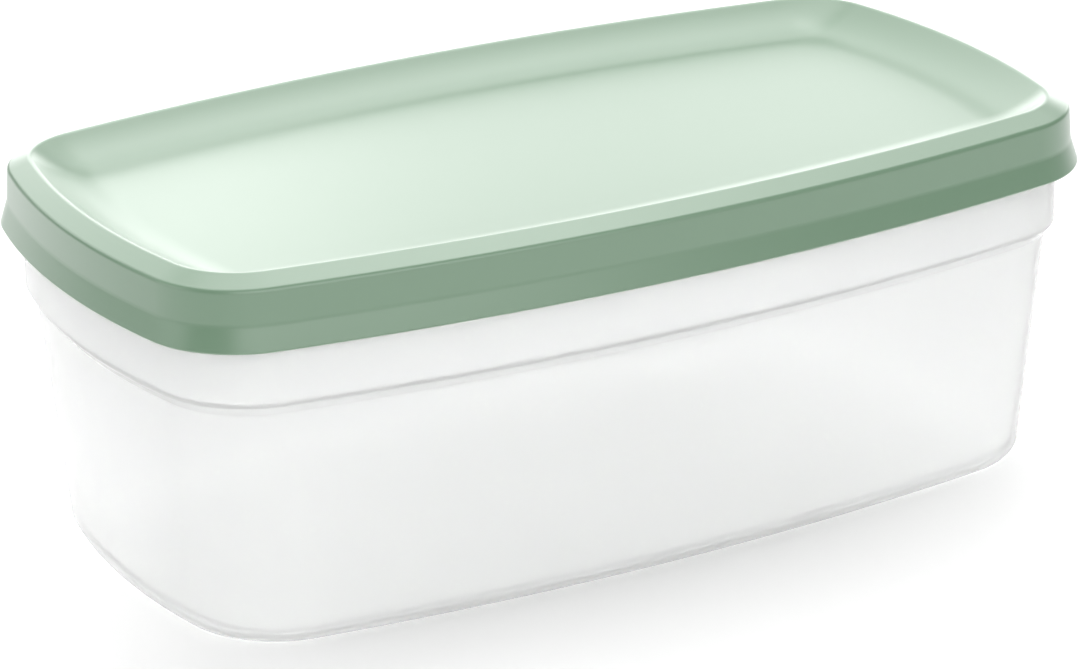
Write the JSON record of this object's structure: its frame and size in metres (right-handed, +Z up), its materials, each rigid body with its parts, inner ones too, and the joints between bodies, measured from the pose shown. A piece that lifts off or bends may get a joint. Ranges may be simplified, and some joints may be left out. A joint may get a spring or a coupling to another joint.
{
  "type": "food storage container",
  "caption": "Rectangular food storage box with bowed sides: a translucent tapered tub with a ledge below its rim, and an opaque press-on lid with a shallow dished top.",
  "frame": {"origin": "middle of the flat foot, on the surface the box stands on", "axes": "+X along the length, +Y across the width, +Z up through the lid"},
  "size_m": [0.22, 0.122, 0.0798],
  "materials": {
    "tub_plastic": "translucent natural plastic, satin gloss",
    "lid_plastic": "opaque sage green plastic, fine satin"
  },
  "bodies": {
    "root": {"tub": "tub_plastic", "lid": "lid_plastic"}
  },
  "joints": []
}
